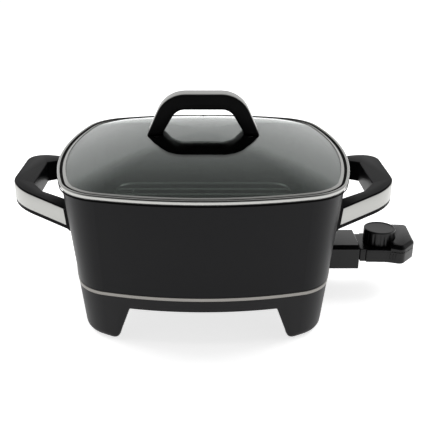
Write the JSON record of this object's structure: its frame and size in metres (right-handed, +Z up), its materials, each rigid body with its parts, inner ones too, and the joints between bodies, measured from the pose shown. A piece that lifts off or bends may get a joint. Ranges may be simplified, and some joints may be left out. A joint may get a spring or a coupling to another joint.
{
  "type": "electric skillet",
  "caption": "Deep square-round electric skillet on a legged base, with a lift-off domed glass lid, loop side handles, an inner wire rack and a plug-in probe thermostat.",
  "frame": {"origin": "on the floor under the middle of the pan, in the plane of the four feet", "axes": "+X from the pan towards the probe control and the right-hand handle, +Y to the back, +Z up"},
  "size_m": [0.4565, 0.32, 0.2362],
  "materials": {
    "coated_pan": "cast aluminium with a dark satin non-stick coat",
    "element_steel": "heat-stained tube",
    "ceramic": "glazed ceramic",
    "bright_steel": "plated steel",
    "black_plastic": "satin black heat-proof plastic",
    "base_plastic": "satin charcoal plastic",
    "trim_steel": "satin steel",
    "band_steel": "satin steel",
    "lid_glass": "clear tempered glass",
    "rim_steel": "polished steel",
    "seal_rubber": "black rubber",
    "rack_wire": "plated wire",
    "gloss_black": "semi-gloss black plastic",
    "contact_brass": "brass strip",
    "carrier_plastic": "brown moulded insulator",
    "knob_plastic": "satin black plastic"
  },
  "bodies": {
    "pan_body": {"pan": "coated_pan", "heating_element": "element_steel", "terminal_bushings": "ceramic", "terminal_pins": "bright_steel", "socket_guard": "black_plastic", "guard_screw": "bright_steel", "base_frame": "base_plastic", "base_trim_ring": "trim_steel", "base_screws": "bright_steel", "left_handle": "black_plastic", "right_handle": "black_plastic", "left_handle_band": "band_steel", "right_handle_band": "band_steel", "handle_screws": "bright_steel"},
    "lid": {"lid_glass": "lid_glass", "lid_rim": "rim_steel", "lid_handle": "black_plastic", "lid_handle_strip": "band_steel", "lid_handle_seals": "seal_rubber", "lid_handle_washers": "seal_rubber", "lid_handle_screws": "bright_steel", "steam_vent": "rim_steel"},
    "rack": {"rack_ring": "rack_wire", "rack_wires": "rack_wire", "rack_legs": "rack_wire"},
    "control": {"control_lower_cover": "gloss_black", "control_upper_cover": "gloss_black", "probe_tube": "bright_steel", "contact_sleeves": "contact_brass", "contact_carrier": "carrier_plastic", "thermostat_bracket": "bright_steel", "bimetal_blade": "contact_brass", "contact_arm": "contact_brass", "contact_points": "bright_steel", "cord_gland": "seal_rubber", "control_screws": "bright_steel"},
    "dial": {"knob": "knob_plastic", "knob_spindle": "bright_steel"}
  },
  "joints": [
    {"name": "lid_lift", "type": "slide", "parent": "pan_body", "child": "lid", "axis": [0, 0, 1], "range_m": [0, 0.14]},
    {"name": "rack_lift", "type": "slide", "parent": "pan_body", "child": "rack", "axis": [0, 0, 1], "range_m": [0, 0.07]},
    {"name": "control_pull", "type": "slide", "parent": "pan_body", "child": "control", "axis": [1, 0, 0], "range_m": [0, 0.12]},
    {"name": "dial_turn", "type": "hinge", "parent": "control", "child": "dial", "pos_m": [0.2085, 0, 0.066], "axis": [0, 0, 1], "range_deg": [0, 270]}
  ]
}
